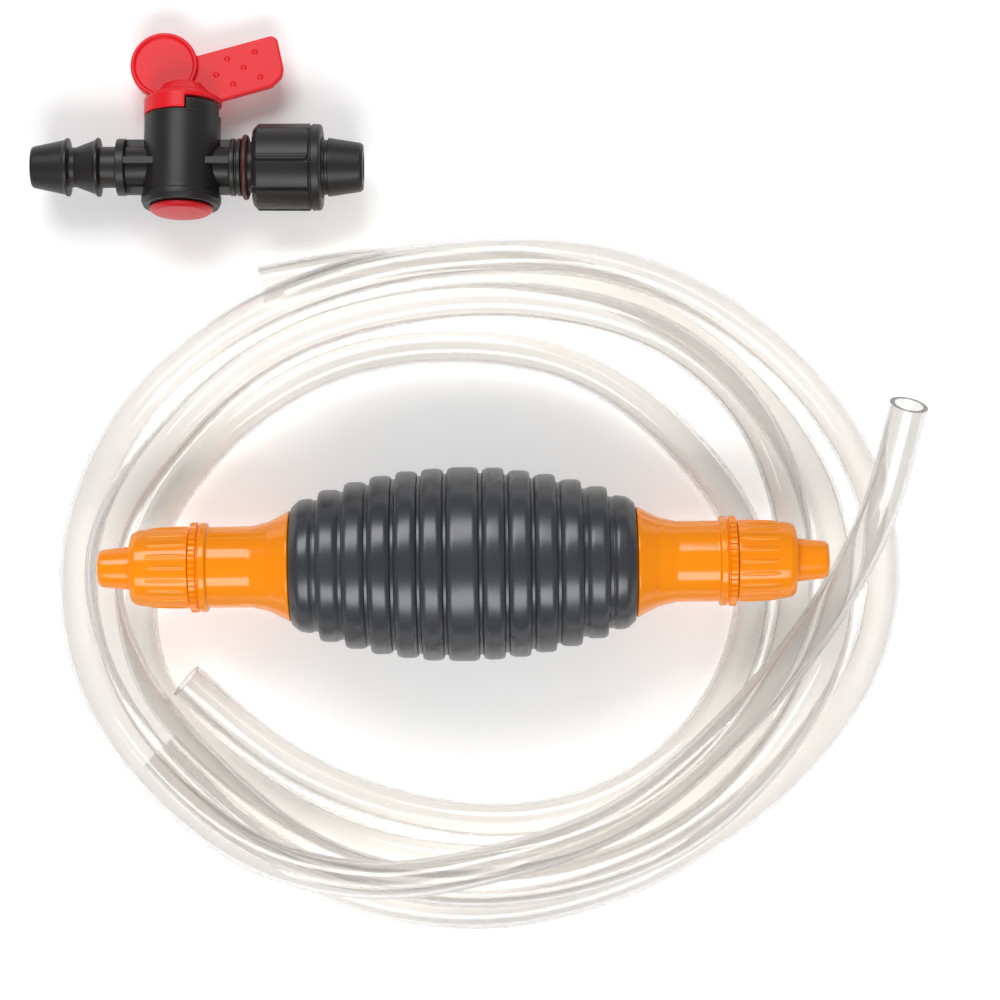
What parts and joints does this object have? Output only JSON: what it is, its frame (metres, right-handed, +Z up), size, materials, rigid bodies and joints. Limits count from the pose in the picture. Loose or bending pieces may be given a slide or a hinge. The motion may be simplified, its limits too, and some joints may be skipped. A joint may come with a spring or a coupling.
{
  "type": "hand siphon pump kit",
  "caption": "Hand squeeze pump with ribbed rubber bulb and union fittings, loose clear hoses in a flat coil, and an in-line barbed flow valve.",
  "frame": {"origin": "middle of the footprint of the pump and valve, on the surface the kit lies on; the loose hoses are left out of that box", "axes": "+X from the pump's inlet to its outlet, +Y from the pump towards the valve, +Z up"},
  "size_m": [0.2789, 0.2866, 0.0602],
  "materials": {
    "bulb_rubber": "satin dark grey rubber",
    "orange_plastic": "glossy moulded orange plastic",
    "seal_rubber": "matt black seal rubber",
    "white_plastic": "natural white plastic",
    "ball_plastic": "smooth white plastic",
    "clear_pvc": "clear flexible PVC",
    "black_plastic": "fine-grained black plastic",
    "red_plastic": "satin coral red plastic"
  },
  "bodies": {
    "pump": {"bulb": "bulb_rubber", "inlet_bell": "orange_plastic", "outlet_bell": "orange_plastic", "inlet_valve_seat": "white_plastic", "outlet_valve_seat": "white_plastic", "inlet_ball_cage": "white_plastic", "outlet_ball_cage": "white_plastic", "suction_hose": "clear_pvc", "discharge_hose": "clear_pvc", "valve_body": "black_plastic"},
    "inlet_tail": {"inlet_spigot": "orange_plastic", "inlet_washer": "seal_rubber"},
    "inlet_union_nut": {"inlet_nut": "orange_plastic"},
    "outlet_tail": {"outlet_spigot": "orange_plastic", "outlet_washer": "seal_rubber"},
    "outlet_union_nut": {"outlet_nut": "orange_plastic"},
    "inlet_float": {"inlet_ball": "ball_plastic"},
    "outlet_float": {"outlet_ball": "ball_plastic"},
    "valve_key": {"valve_lever": "red_plastic", "valve_plug": "red_plastic", "plug_o_ring_upper": "seal_rubber", "plug_o_ring_lower": "seal_rubber"},
    "valve_seal": {"thread_o_ring": "seal_rubber"},
    "valve_lock_nut": {"lock_nut": "black_plastic"}
  },
  "joints": [
    {"name": "inlet_nut_travel", "type": "slide", "parent": "pump", "child": "inlet_tail", "axis": [-1, 0, 0], "range_m": [0, 0.0041]},
    {"name": "inlet_nut_turn", "type": "hinge", "parent": "inlet_tail", "child": "inlet_union_nut", "pos_m": [0.01084, -0.06986, 0.0301], "axis": [-1, 0, 0], "range_deg": [0, 720]},
    {"name": "outlet_nut_travel", "type": "slide", "parent": "pump", "child": "outlet_tail", "axis": [1, 0, 0], "range_m": [0, 0.0041]},
    {"name": "outlet_nut_turn", "type": "hinge", "parent": "outlet_tail", "child": "outlet_union_nut", "pos_m": [0.01084, -0.06986, 0.0301], "axis": [1, 0, 0], "range_deg": [0, 720]},
    {"name": "inlet_ball_lift", "type": "slide", "parent": "pump", "child": "inlet_float", "axis": [1, 0, 0], "range_m": [0, 0.003]},
    {"name": "outlet_ball_lift", "type": "slide", "parent": "pump", "child": "outlet_float", "axis": [1, 0, 0], "range_m": [0, 0.003]},
    {"name": "valve_lever_turn", "type": "hinge", "parent": "pump", "child": "valve_key", "pos_m": [-0.07686, 0.05644, 0.01556], "axis": [-0.0124, -0.9873, 0.1582], "range_deg": [0, 90]},
    {"name": "lock_nut_travel", "type": "slide", "parent": "pump", "child": "valve_seal", "axis": [0.9999, -0.0126, 0], "range_m": [0, 0.0081]},
    {"name": "lock_nut_turn", "type": "hinge", "parent": "valve_seal", "child": "valve_lock_nut", "pos_m": [-0.07686, 0.05644, 0.01556], "axis": [0.9999, -0.0126, 0], "range_deg": [0, 1440]}
  ],
  "couplings": [
    {"joint": "inlet_nut_travel", "follows": "inlet_nut_turn", "m_per_rad": 0.00031831},
    {"joint": "outlet_nut_travel", "follows": "outlet_nut_turn", "m_per_rad": 0.00031831},
    {"joint": "lock_nut_travel", "follows": "lock_nut_turn", "m_per_rad": 0.00031831}
  ]
}
